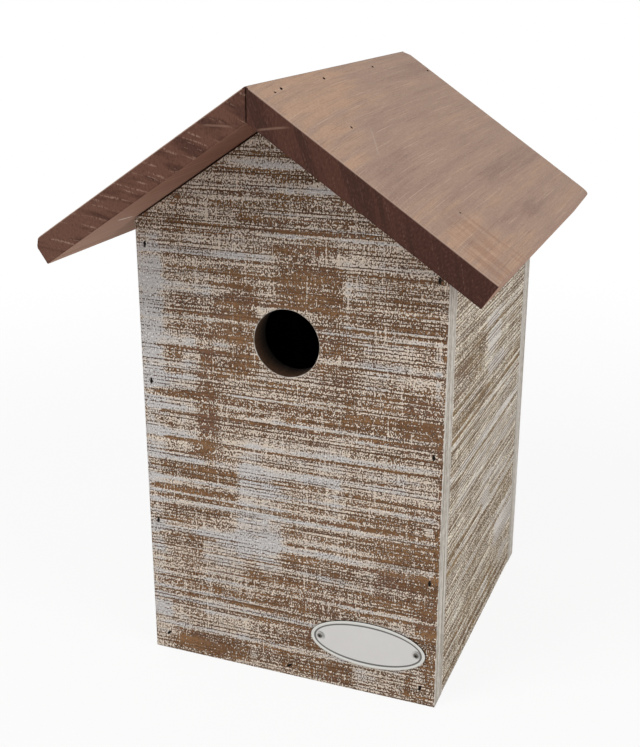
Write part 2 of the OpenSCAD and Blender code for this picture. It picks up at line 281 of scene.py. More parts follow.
# Bands of the brushed paint, in millimetres: height of the middle, half height, start and end
# across the panel, and load, which is above 0 for paint and below 0 for bare stain
FRONT_BANDS = [
    # under the ridge
    (262, 3, -22, 22, 0.25), (259, 0.8, -15, 15, -0.35), (254.5, 2, -26, 12, 0.55),
    (251.5, 0.5, -30, 20, -0.4), (249, 2, -8, 18, -0.5), (248, 3, -40, -8, -0.15),
    (244, 1.2, -8, 25, 0.3), (241, 0.6, -45, 40, -0.4), (239.5, 0.8, -5, 30, -0.35),
    (237, 0.6, -55, 40, -0.5), (234, 0.4, -60, 30, -0.4), (233, 0.8, -10, 45, 0.35),
    (230, 2, -25, 32, -0.45), (227.6, 0.5, 0, 45, 0.5), (225.6, 0.7, -60, 45, -0.65),
    (223.5, 0.9, -10, 60, 0.5), (222, 0.4, -62, 50, -0.5), (218, 2, 0, 30, -0.4),
    (218, 3, -70, -42, 0.1),
    # above the hole
    (212.5, 1.6, -68, 70, 0.5), (210.2, 0.5, -73, 30, -0.65), (209, 0.5, 30, 74, -0.4),
    (205.5, 2.6, -32, 28, -0.4), (203.6, 0.9, -38, 28, -0.4), (205, 0.6, -60, -35, -0.5),
    (207, 12, -75, -63, 0.4), (196, 3, -64, -36, 0.4), (199, 0.5, -60, 74, -0.4),
    (197, 0.5, -20, 72, -0.4), (195, 0.5, -20, 72, -0.35), (193, 0.5, -20, 72, -0.4),
    (191, 0.6, -60, 72, -0.4), (203, 7, 28, 37, 0.35), (194, 11, 28, 30, 0.6),
    (192, 0.5, 30, 72, 0.35), (187.5, 2, 30, 75, -0.35), (185, 0.5, 30, 72, 0.4),
    (188, 3.5, -60, -16, -0.35), (188, 4, 14, 27, -0.35), (195, 5, -5, 27, -0.15),
    # beside the hole
    (183.2, 0.8, -62, -14, -0.75), (183.2, 0.8, 14, 75, -0.75), (181.3, 0.9, -62, 75, 0.6),
    (179.8, 0.5, -62, 75, -0.7), (176, 2.5, -62, -46, -0.4), (176, 3, -44, -14, -0.25),
    (180, 35, -75, -62, 0.75), (171, 3.5, -62, -45, 0.75), (171, 4, -43, -39, 0.6),
    (169.5, 1, -39, -24, 0.4), (173, 6, 17, 29, -0.35), (173, 6, 38, 60, 0.35),
    (173, 7, 61, 69, -0.15), (167.6, 1.4, 16, 74, 0.5), (166, 0.5, -68, 74, -0.6),
    (163, 3, -63, -54, -0.5), (162, 3.5, -52, -45, 0.4), (163, 3, -44, -37, -0.5),
    (162, 4, -37, 34, -0.15), (161, 5, 37, 49, 0.4), (162, 5, 62, 66, 0.3),
    (157.5, 1.2, 38, 55, 0.4), (157.5, 1.8, -66, -43, 0.5), (168, 13, 70.5, 72.5, 0.7),
    (154, 1.4, -63, -53, -0.5), (154, 1.6, -46, -30, -0.6), (154, 0.6, -20, 75, -0.5),
    (151.5, 0.5, -20, 75, -0.5), (149, 4, -75, -45, 0.55), (149, 0.5, 8, 75, -0.4),
    (147.6, 0.5, -10, 75, 0.35), (146.6, 0.4, -10, 75, -0.5), (145.5, 0.5, -28, 75, 0.4),
    (144.4, 0.4, -70, 75, -0.5),
    # the bare band under the hole, and below
    (142.2, 1.6, -73, 75, -0.85), (139.4, 0.8, -75, -20, 0.4), (137.6, 1.2, -46, -8, -0.85),
    (137.4, 1.4, -3, 75, -0.85), (135.6, 1.6, -75, -46, 0.6), (135.2, 0.8, -20, 75, 0.5),
    (133, 0.7, -66, 75, -0.85), (129.5, 3.4, -46, -34, -0.6), (129, 2, -69, -64, -0.4),
    (129, 3, -34, -10, -0.15), (129, 3, 10, 20, -0.2), (129, 3, 30, 74, 0.1),
    (127, 0.4, 30, 74, -0.4), (122.8, 2, -75, -46, 0.85), (122, 1.6, -36, -22, 0.4),
    (121.8, 1.3, -22, 75, 0.6), (119.4, 0.6, -64, 75, -0.7), (115.5, 3, -70, -58, -0.2),
    (115, 4, -52, -28, -0.4), (115, 3, -22, -8, -0.2), (112.5, 0.4, -70, 75, -0.3),
    (109.8, 1.8, -75, -42, 0.65), (109.5, 2, -38, 26, 0.4), (109.5, 2, 9, 26, 0.4),
    (109.5, 1.5, 30, 75, 0.3), (112, 9, -43, -38, -0.35),
    (105.3, 1.3, -73, -27, -1.0), (105.3, 0.8, 4, 42, -0.35), (103.6, 0.4, -73, 75, -0.5),
    (101.5, 5.5, -27, -2, 0.45), (100.4, 1, -70, -27, -0.45), (98.6, 0.8, -72, -30, 0.2),
    (101, 2, 30, 75, -0.2), (103, 8, 22.5, 26, 0.7), (97.4, 1.6, -72, 75, 0.5),
    (96.4, 0.35, -70, 75, -0.7),
    # the lower third
    (92.8, 1.5, -73, -27, -1.1), (92.8, 1.1, -3, 22, -0.55), (92.8, 1.4, 29, 66, -0.9),
    (92, 2, 66, 71, 0.5), (90.6, 0.5, -72, 75, 0.3), (88.2, 1.1, -74, 75, -0.95),
    (85.8, 1.1, -75, 75, 0.65), (82.8, 0.6, -73, -30, -0.8), (82.8, 0.4, -28, -5, -0.5),
    (82.6, 0.7, 0, 75, -0.6), (78, 3.5, -73, -30, -0.35), (79.5, 0.5, -2, 72, -0.4),
    (77.4, 0.5, -2, 72, -0.4), (73, 12, -27, -20, 0.9), (78, 6, -20, -3, 0.6),
    (74, 0.4, -19, -11, -0.6), (75, 0.5, -73, -28, -0.4), (73.2, 0.7, -2, 75, -0.75),
    (70.6, 1.6, -75, 75, 0.65), (67.4, 0.8, -70, -38, -0.55), (67.2, 1, -4, 75, -0.7),
    (64, 3, -75, -46, -0.2), (64, 3, -45, -28, 0.25), (64, 3, -20, -5, 0.3),
    (64, 3, 0, 34, -0.35), (64.5, 2.5, 35, 45, 0.35), (63.5, 3, 46, 75, -0.4),
    (60.5, 0.45, -75, 75, -0.55), (58, 2, -46, -25, 0.4), (58, 2, -20, 30, 0.3),
    (57, 2, 30, 75, 0.15), (54, 0.7, -75, 75, -0.45), (52.3, 0.6, -68, 75, -0.45),
    (50.6, 0.5, -75, 75, -0.65), (55, 7, -26, -22, 0.5), (47, 0.9, -70, 75, -0.75),
    (45, 0.9, -75, 75, 0.4), (43, 0.4, -70, 22, -0.55), (43, 0.8, 27, 75, -0.55),
    (44, 1.5, -45, -41, 0.5), (39.6, 1.7, -74, -36, -0.85), (39.4, 1.5, -32, 36, -0.55),
    (39.4, 1.6, 60, 75, -0.5), (36.6, 0.6, -72, 75, 0.35), (34.6, 1.1, -74, 75, -0.95),
    (31.4, 1.1, -75, 75, 0.6), (28.6, 0.9, -72, 14, -0.65),
    # the foot
    (23, 6, -75, -65, 0.4), (21, 3.5, -48, -42, -0.25), (22, 4, 0, 14, -0.35),
    (18, 2, -58, 18, 0.1), (15.6, 1.4, -75, 30, 0.55), (13, 0.6, -64, 32, -0.8),
    (7, 5, -62, -22, -0.85), (8, 6, -20.5, -18.5, 0.6), (7.5, 3, -18, -4, 0.1),
    (6, 2, -4, 20, -0.3), (7, 5, 20, 33, -0.75), (11, 3, 34, 47, 0.5),
    (12.8, 0.4, 34, 58, -0.5), (4, 0.5, 32, 75, -0.55), (3, 1, 34, 48, 0.5),
    (10, 7, 60.5, 62.5, -0.8), (11, 5, 64, 71, 0.5), (25, 14, 70, 75, -0.4),
    # the worn arris at the right
    (90, 52, 72.9, 75, -1.2), (172, 30, 74, 75, -0.4),
]
# Broad, faint patches over the rest, in the same terms, whose ends fade out softly
FRONT_PATCHES = [
    # bare round the hole and in a column at its left
    (180, 25, -30, -15, -0.8), (205, 15, -5, 25, -0.5), (145, 30, -45, -35, -0.5),
    (170, 10, -60, -35, -0.3), (165, 10, 15, 30, -0.3),
    # pale at the left edge and under the hole
    (110, 90, -75, -65, 0.6), (75, 15, -25, -5, 0.5), (100, 15, -25, -5, 0.3),
    (115, 10, -25, 30, 0.3), (60, 15, -45, -25, 0.4), (40, 15, -45, -30, 0.3),
    # browner at the lower right and along the foot
    (150, 10, 30, 75, -0.3), (95, 10, 25, 75, -0.2), (65, 20, 45, 75, -0.3),
    (15, 15, -20, 25, -0.4), (40, 5, -15, 30, -0.4), (5, 5, -65, -25, -0.5),
    (30, 30, 65, 75, -0.4),
]
# Brad marks, in millimetres and degrees: place across, height, turn, and size as a share
FRONT_PITS = [
    (-70.5, 73, 90, 1), (-70.5, 147, 90, 1), (-70.5, 214, 90, 1), (70.5, 66, 90, 1),
    (70.5, 129, 90, 1), (70.5, 210, 90, 1), (-67.5, 9, 45, 1), (67.5, 9, 80, 1), (0, 5.5, 30, 1),
]


def mottle(u, v, seed):
    """Smooth noise from 0 to 1: random values at whole numbers, the same again after 256 of them,
    eased between by 3t^2 - 2t^3."""
    count = 256
    table = np.random.default_rng(seed).random((count, count))
    i, j = np.floor(u).astype(int), np.floor(v).astype(int)
    s, t = u - i, v - j
    s, t = s * s * (3 - 2 * s), t * t * (3 - 2 * t)
    i, j = i % count, j % count
    k, m = (i + 1) % count, (j + 1) % count
    level = table[i, j] * (1 - s) + table[k, j] * s
    above = table[i, m] * (1 - s) + table[k, m] * s
    return level * (1 - t) + above * t


def ease(distance, width):
    """0 outside and 1 inside an edge: a smooth rise over width, centred where distance is 0."""
    t = np.clip(distance / width + 0.5, 0, 1)
    return t * t * (3 - 2 * t)


def saw_lines(a, z, seed):
    """Level saw marks from about -1 to 1: noise stretched along the panel, coarse to fine, over
    heights that wander."""
    z = z + 0.7 * MM * mottle(a / (50 * MM), z / (30 * MM), seed)
    lines = np.zeros_like(a)
    for length, pitch, share in ((90, 3.4, 0.35), (45, 1.5, 1.0), (25, 0.8, 0.8)):
        seed += 1
        lines = lines + share * (mottle(a / (length * MM), z / (pitch * MM), seed) - 0.5)
    return lines


def front_strengths(bands):
    """The front's bands as rows, with the loads of bare lines and of broad painted bands changed as
    LINE_GAIN and BROAD_GAIN say."""
    rows = np.array(bands, float)
    half, load = rows[:, 1], rows[:, 4]
    line = (load < 0) & (half <= LINE_HALF)
    broad = (load > 0) & (half >= BROAD_HALF)
    rows[line, 4] = np.maximum(BAREST, LINE_GAIN * load[line])
    rows[broad, 4] = BROAD_GAIN * load[broad]
    return rows


def laid_bands(a, z, bands, seed, soft=BAND_FADE):
    """The loads of bands, given in millimetres, at a, z. Each is eased up inside its rectangle,
    whose level edges wander and whose ends are ragged over soft, and it comes and goes a little."""
    wander = mottle(a / (18 * MM), z / (60 * MM), seed + 9) - 0.5
    patchy = 0.6 + 0.5 * mottle(a / (9 * MM), z / (3 * MM), seed + 10)
    ragged = 1.2 * soft * (mottle(z / (0.9 * MM), a / (40 * MM), seed + 11) - 0.5)
    load = np.zeros_like(a)
    for height, half, start, end, strength in bands:
        up = ease(half * MM - np.abs(z - height * MM - wander * min(half, 1.5) * MM), 0.28 * soft)
        along = ease(a - start * MM + ragged, soft) * ease(end * MM - a + ragged, soft)
        load = load + strength * up * along * patchy
    return load


def paint_load(a, z, bands, patches, seed):
    """Load of paint, from -1, bare, to 1, thick: saw marks, the placed bands and patches, and broad
    upright brush strokes. The sum is bent to stay within 1, as load / sqrt(1 + load^2)."""
    load = BASE_LOAD + SAW_SHARE * saw_lines(a, z, seed) + laid_bands(a, z, bands, seed)
    load = load + laid_bands(a, z, patches, seed + 20, PATCH_FADE)
    load = load + STROKE_SHARE * (mottle(a / (3 * MM), z / (20 * MM), seed + 12) - 0.5)
    return load / np.sqrt(1 + load**2)


def brad_pits(a, z, pits):
    """Share of the pits' depth at a, z. With u and v as shares of a pit's half length and half
    width, it is eased up over 1 - u^2 - v^2: an oval dish, flat at the bottom."""
    deep = np.zeros_like(a)
    for across, height, turn, size in pits:
        c, s = math.cos(math.radians(turn)), math.sin(math.radians(turn))
        along = ((a - across * MM) * c + (z - height * MM) * s) / (size * PIT_HALF_LENGTH)
        side = ((z - height * MM) * c - (a - across * MM) * s) / (size * PIT_HALF_WIDTH)
        deep = np.maximum(deep, size * ease(1 - along**2 - side**2, 0.7))
    return deep


def spread(start, end, step, fine, fine_step, reach):
    """Places from start to end, step apart, and fine_step apart within reach of each of fine's. Of
    two that nearly meet, one is left out."""
    points = np.arange(start, end, step)
    for place in fine:
        points = points[np.abs(points - place) > reach]
        near = np.arange(place - reach, place + reach + 1e-9, fine_step)
        points = np.concatenate([points, near[(near > start) & (near < end)]])
    points = np.unique(np.round(np.concatenate([points, [start, end]]), 6))
    gaps = np.diff(points) > 0.3 * fine_step
    return points[np.concatenate([[True], gaps[:-1], [True]])]


def new_piece(name, node, slot, material, points, faces, held, smooth=None):
    """A mesh piece that rides on the box in place of a node, with the values that its points hold.
    smooth says of each face if it is shaded smooth; without it all are."""
    mesh = bpy.data.meshes.new(name)
    mesh.from_pydata(points.tolist(), [], faces)
    smooth = np.ones(len(faces), bool) if smooth is None else smooth
    mesh.polygons.foreach_set("use_smooth", smooth)
    for label, values in held.items():
        kind = "FLOAT" if values.ndim == 1 else "FLOAT_VECTOR"
        field = "value" if values.ndim == 1 else "vector"
        attribute = mesh.attributes.new(label, kind, "POINT")
        attribute.data.foreach_set(field, values.astype(np.float32).ravel())
    mesh.materials.append(material)
    piece = bpy.data.objects.new(name, mesh)
    bpy.context.scene.collection.objects.link(piece)
    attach(piece, "root")
    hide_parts(node)


def quads(grid):
    """The quads between neighbouring rows of a grid of point numbers."""
    lower, upper = grid[:-1], grid[1:]
    corners = [lower[:, :-1], lower[:, 1:], upper[:, 1:], upper[:, :-1]]
    return np.stack(corners, -1).reshape(-1, 4)


def closed_quads(rings):
    """The quads between closed rings of point numbers."""
    return quads(np.concatenate([rings, rings[:, :1]], 1))


def sawn_board(half_width, heights, columns, depth, thick, hole=None, top_rise=0.0):
    """A board in its own axes: a across the face, d into the wood, z up. The face is a grid of rows
    at heights, as wide as half_width says and sunk by depth. At a hole, what lies within twice the
    rim's radius of the middle is pressed evenly outwards to start at the rim. The border is carried
    out over the arris, each point along the mitre of its two edges, and then straight back; the
    rim is carried in over its arris and back along the bore. The back is one quad a row, and its
    top stands higher than the face's by top_rise. Each point comes with its zone and with the
    number of the face point that it was carried from."""
    rows, count = len(heights), len(columns)
    out = columns[None, :] * half_width(heights)[:, None] / columns[-1]
    first = last = 0
    if hole:
        middle, radius = hole
        rim = radius + ARRIS
        gap = np.sqrt(np.clip(rim**2 - (heights - middle) ** 2, 0, None))[:, None]
        out = np.where(out < 2 * rim, gap + out * (2 * rim - gap) / (2 * rim), out)
        first, last = (np.abs(heights - middle + side * rim).argmin() for side in (1, -1))
        out[[first, last], 0] = 0
    a = np.concatenate([-out, out], 1).ravel()
    z = np.repeat(heights, 2 * count)
    left = np.arange(rows)[:, None] * 2 * count + np.arange(count)[None, :]
    right = left + count
    joined = (np.arange(rows) <= first) | (np.arange(rows) >= last)
    right[joined, 0] = left[joined, 0]
    points = [np.stack([a, depth(a, z), z], 1)]
    origin = [np.arange(len(a))]
    zone = [np.full(len(a), FACE)]

    def walls(loop, moves, levels, zones):
        """Rings behind a closed loop of face points, each moved sideways and set at its own level:
        the last ring's numbers, and the quads."""
        start = sum(len(part) for part in points)
        for level, kind in zip(levels, zones):
            ring = [a[loop] + moves[0], np.full(len(loop), level), z[loop] + moves[1]]
            points.append(np.stack(ring, 1))
            origin.append(loop)
            zone.append(np.full(len(loop), kind))
        rings = start + np.arange(len(levels) * len(loop)).reshape(-1, len(loop))
        return rings[-1], closed_quads(np.concatenate([[loop], rings]))[:, [0, 3, 2, 1]]

    border = np.concatenate([
        left[0, ::-1], right[0, 1:], right[1:, -1],
        right[-1, -2::-1], left[-1, 1:], left[-2:0:-1, -1],
    ])
    run = np.stack([a[border], z[border]])
    along = np.roll(run, -1, 1) - run
    along /= np.linalg.norm(along, axis=0)
    normal = np.stack([along[1], -along[0]])
    before = np.roll(normal, 1, 1)
    mitre = ARRIS * (normal + before) / (1 + (normal * before).sum(0))
    levels = np.concatenate([[ARRIS], np.linspace(thick / 5, thick, 5)])
    outer, edge_faces = walls(border, mitre, levels, [EDGE] * len(levels))
    faces = [quads(left[:, ::-1]), quads(right), edge_faces]
    smooth = [1, 1, 0]

    corner = 2 * count - 2
    top = 2 * corner + rows - 1
    right_end = outer[corner + np.arange(rows)]
    left_end = outer[(top + rows - 1 - np.arange(rows)) % len(outer)]
    back = np.stack([left_end[:-1], left_end[1:], right_end[1:], right_end[:-1]], 1)
    sole = outer[1:corner][::-1]
    crest = outer[corner + rows:top][::-1]
    polygons = [[*back[0], *sole], [*back[-1, :2], *crest, *back[-1, 2:]]]
    plain = np.arange(1, rows - 2)
    if hole:
        ring = np.concatenate([left[first:last + 1, 0], right[last - 1:first:-1, 0]])
        inward = np.stack([a[ring], z[ring] - middle]) * (radius / rim - 1)
        levels = np.concatenate([[ARRIS], np.linspace(1.2 * MM, thick, 7)])
        inner, bore_faces = walls(ring, inward, levels, [EDGE] + [BARE] * 7)
        here = np.arange(first, last)
        left_rim = inner[:last - first + 1]
        right_rim = np.concatenate([inner[:1], inner[:last - first - 1:-1]])
        at_left = [left_end[here], left_end[here + 1], left_rim[1:], left_rim[:-1]]
        at_right = [right_rim[:-1], right_rim[1:], right_end[here + 1], right_end[here]]
        faces += [bore_faces[:len(ring)], bore_faces[len(ring):]]
        faces += [np.stack(at_left, 1), np.stack(at_right, 1)]
        smooth += [0, 1, 0, 0]
        polygons.append([*back[first - 1, :2], left_rim[0], *back[first - 1, 2:]])
        polygons.append([*back[last], left_rim[-1]])
        plain = plain[(plain < first - 1) | (plain > last)]
    faces.append(back[plain])
    smooth = np.repeat(smooth + [0, 0], [len(f) for f in faces] + [len(polygons)])
    faces = np.concatenate(faces)
    used = np.unique(faces)
    place = np.concatenate(points)
    number = np.zeros(len(place), int)
    number[used] = np.arange(len(used))
    place = place[used]
    place[:, 2] += top_rise * place[:, 1] / thick * place[:, 2] / heights[-1]
    faces = number[faces].tolist() + [number[polygon].tolist() for polygon in polygons]
    return place, faces, smooth, np.concatenate(zone)[used], np.concatenate(origin)[used]


def gable_half_width(heights):
    """Half the width of a gable's face at each height: inside the arris, and from the shoulder up
    falling evenly to the crest, clear of the roof."""
    return np.minimum(HALF_WIDTH - ARRIS, (CREST - heights) / SLOPE)


def gable_heights(step, hole=None):
    """Heights of a gable's rows: even ones, its shoulder, and across a hole those at even turns of
    its round rim. Even ones that nearly meet another are left out."""
    shoulder = CREST - (HALF_WIDTH - ARRIS) * SLOPE
    tip = CREST - TIP_HALF * SLOPE
    heights = np.arange(ARRIS, tip, step)
    if hole:
        middle, radius = hole
        rim = radius + ARRIS
        turns = np.linspace(-math.pi / 2, math.pi / 2, 97)
        heights = heights[np.abs(heights - middle) > rim + 0.2 * MM]
        heights = np.concatenate([heights, middle + rim * np.sin(turns)])
    heights = heights[np.abs(heights - shoulder) > 0.1 * MM]
    return np.unique(np.concatenate([heights, [shoulder, tip]]))


def whitewash(name, white, cream, lit, worn_white, ground, groove_shade, grit, specked, sawn, edge_white):
    """Brushed off-white paint on brown-stained sawn wood. It covers where its load, with specks,
    lines, brush strokes, flecks and saw marks added, is above 0. Where the paint thins out and in
    the saw marks the wood is painted the groove colour, a painted shade, and the paint's high
    specks are lightened to the lit colours, a painted highlight. Edges are whitened plies. Those
    under the roof and the faces inside the box are raw wood; the bore is raw wood painted darker
    inwards to near black, and the brad pits are painted near black, both as painted shade. grit is
    the size of the specks, in millimetres; specked and sawn say how far specks and saw marks change
    the load."""
    wash = Finish(bpy.data.materials.new(name))
    place = wash.place()
    load, zone, pit = wash.held("load"), wash.held("zone"), wash.held("pit")
    specks = wash.cloud(place, grit, 2.0)
    lines = wash.cloud(place, (38, 38, 0.65), 2, 3.0)
    strokes = wash.cloud(place, (0.9, 0.9, 16), 2, 9.0)
    drift = wash.cloud(place, (22, 22, 5), 2, 7.0)
    hue = wash.cloud(place, (30, 30, 9), 1, 13.0)
    flecks = wash.cloud(place, (1.6, 1.6, 1.1), 3, 17.0)
    saw = wash.add("ShaderNodeMapping", None, {"Vector": place, "Scale": (0.1, 0.1, 1.0)})
    waves = {"Vector": saw, "Scale": 175.0, "Distortion": 3.0, "Detail": 1.0, "Detail Scale": 0.8}
    saw = wash.add("ShaderNodeTexWave", {"bands_direction": "Z"}, waves, "Fac")
    deep = wash.rise(wash.cloud(place, (70, 70, 4), 2, 19.0), 0.4, 0.6)
    saw = wash.rise(saw, 0.72, 0.95) * deep
    amount = load + (specks - 0.5) * specked + (lines - 0.5) * 2.2 + (strokes - 0.5) * 0.8
    amount = amount + wash.rise(strokes, 0.63, 0.69) * 0.8 - wash.rise(flecks, 0.6, 0.68) * 0.7
    amount = amount - saw * sawn
    cover = wash.rise(amount, -0.1, 0.1)
    thick = wash.rise(load + (drift - 0.5) * 0.8, 0.2, 0.75)
    # dark and the groove colour: painted shade where the paint thins out and in the saw marks
    dark = wash.rise(amount, -0.9, -0.1)
    stained = wash.blend(wash.rise(drift, 0.35, 0.65), paint(*ground[0]), paint(*ground[1]))
    stained = wash.blend(wash.rise(hue, 0.5, 0.7), stained, paint(*ground[2]))
    stained = wash.blend(dark, stained, paint(*groove_shade))
    stained = wash.blend(saw * 0.6, stained, paint(*groove_shade))
    coat = wash.blend(thick, paint(*cream), paint(*white))
    # lit: a painted highlight on the paint's high specks
    lit = wash.blend(thick, paint(*lit[0]), paint(*lit[1]))
    coat = wash.blend(wash.rise(specks, 0.52, 0.7) * 0.75, coat, lit)
    coat = wash.blend(wash.rise(lines, 0.45, 0.3) * 0.5, coat, paint(*worn_white))
    face = wash.blend(cover, stained, coat)
    ply = wash.cloud(place, (1.1, 1.1, 90), 2, 11.0)
    worn = wash.cloud(place, (1.6, 1.6, 3.0), 3, 5.0)
    edge_tone = wash.rise(ply + (worn - 0.5) * 0.5, 0.35, 0.62)
    edge = wash.blend(edge_tone, paint(*edge_white[0]), paint(*edge_white[1]))
    raw = wash.blend(worn, paint(56, 38, 25), paint(92, 66, 44))
    x, y, z = wash.axes(place)
    # The bore is painted from raw wood at its mouth to near black inside: painted shade.
    bare = wash.blend(wash.rise(y, -HALF_DEPTH, PANEL_THICK - HALF_DEPTH), raw, paint(22, 15, 11))
    edge = wash.blend(wash.rise(z, EAVE, EAVE + 1 * MM), edge, raw)
    room_x, room_y = wall_low.x, HALF_DEPTH - PANEL_THICK
    inside = wash.rise(x * x, (room_x + 0.3 * MM) ** 2, room_x**2)
    inside = inside * wash.rise(y * y, (room_y + 0.3 * MM) ** 2, room_y**2)
    on_edge = wash.rise(zone + (worn - 0.5) * 1.6, 0.4, 0.6)
    colour = wash.blend(on_edge, face, edge)
    colour = wash.blend(wash.rise(zone, 1.1, 1.6), colour, bare)
    colour = wash.blend(inside, colour, raw)
    # The brad pits are painted near black: painted shade in the recesses.
    colour = wash.blend(wash.rise(pit, 0.1, 0.45), colour, paint(18, 13, 10))
    rough = 0.85 - cover * 0.2
    height = cover * 0.5 + specks * 0.6 + lines * 0.4 - saw * 0.6
    return wash.skin(colour, rough, height, 0.2 * MM, **{"Specular IOR Level": 0.3})


def sawn_piece(name, node, slot, material, shape, turn, bands, patches, pits, seed, **board):
    """A sawn board in the node's place. shape is (half width at a height, heights, columns, thick),
    and turn takes the board's own axes a, d, z to the box's x, y, z. Its face is sunk by SAW_DEPTH
    where it is bare, less where it is painted, and by PIT_DEPTH at the brads."""
    kept = {}

    def depth(a, z):
        kept["load"] = paint_load(a, z, bands, patches, seed)
        kept["pit"] = brad_pits(a, z, pits)
        sawn = SAW_DEPTH * (1 - ease(kept["load"], 1.2))
        return sawn + (PIT_DEPTH - sawn) * kept["pit"]

    half_width, heights, columns, thick = shape
    made = sawn_board(half_width, heights, columns, depth, thick, **board)
    place, faces, smooth, zone, origin = made
    held = {"load": kept["load"][origin], "pit": kept["pit"][origin], "zone": zone}
    new_piece(name, node, slot, material, turn(*place.T), faces, held, smooth)


sawn_piece(
    "front_panel_sawn", "front_panel", "whitewashed_gable",
    whitewash(
        "whitewashed gable",
        white=(188, 184, 182),
        cream=(209, 193, 176),
        lit=[(248, 235, 219), (252, 248, 245)],
        worn_white=(140, 125, 112),
        ground=[(117, 83, 55), (141, 104, 70), (122, 88, 66)],
        groove_shade=(56, 36, 23),
        grit=(0.65, 0.7, 0.85),
        specked=5.2,
        sawn=0.9,
        edge_white=[(158, 148, 134), (214, 208, 200)],
    ),
    (
        gable_half_width,
        gable_heights(0.55 * MM, (HOLE_HEIGHT, HOLE_RADIUS)),
        spread(0, HALF_WIDTH - ARRIS, 1.35 * MM, BRAD_COLUMNS, 0.4 * MM, 1.8 * MM),
        PANEL_THICK,
    ),
    lambda a, d, z: np.stack([a, d - HALF_DEPTH, z], 1),
    front_strengths(FRONT_BANDS), FRONT_PATCHES, FRONT_PITS, 11,
    hole=(HOLE_HEIGHT, HOLE_RADIUS),
)


# Back panel
# The same plywood and paint as the front, with no hole; its brads stand in the same rows. The box
# is fixed by this face, so its paint has no placed bands: they fall as the brush left them.

BACK_PITS = [(-x, z, 180 - turn, size) for x, z, turn, size in FRONT_PITS]
BAND_PITCH = 2.4
CHANCE_PATCHES = 14


def chance_bands(seed, half_width, top):
    """Rows in the terms of the placed bands: level bands about BAND_PITCH apart up to top, each of
    its own length and load, and some patches."""
    chance = np.random.default_rng(seed)
    count = int(top / BAND_PITCH)
    heights = BAND_PITCH * np.arange(count) + chance.uniform(0, 1.8, count)
    middles = chance.uniform(-0.6, 0.6, count) * half_width
    lengths = chance.uniform(0.4, 2.2, count) * half_width
    halves = chance.choice([0.4, 0.5, 0.7, 1.2, 1.8], count)
    loads = chance.choice([-0.8, -0.6, -0.5, 0.4, 0.6], count)
    level = np.stack([heights, halves, middles - lengths / 2, middles + lengths / 2, loads], 1)
    least = [6, 2, -half_width, 4, -0.6]
    most = [top - 6, 8, half_width - 10, 20, 0.8]
    patches = chance.uniform(least, most, (CHANCE_PATCHES, 5))
    patches[:, 3] += patches[:, 2]
    return np.concatenate([level, patches])


sawn_piece(
    "back_panel_sawn", "back_panel", "whitewashed_gable",
    bpy.data.materials["whitewashed gable"],
    (
        gable_half_width,
        gable_heights(0.7 * MM),
        spread(0, HALF_WIDTH - ARRIS, 1.7 * MM, BRAD_COLUMNS, 0.5 * MM, 1.5 * MM),
        PANEL_THICK,
    ),
    lambda a, d, z: np.stack([-a, HALF_DEPTH - d, z], 1),
    chance_bands(23, 75, 270), [], BACK_PITS, 31,
)


# Side walls
# The same plywood, a little paler and yellower, let in between the front and back panels and
# bevelled at the top to the roof's slope. The left wall's paint falls by chance, as at the back.

WALL_TOP = EAVE - ROOF_GAP * math.hypot(1, SLOPE)
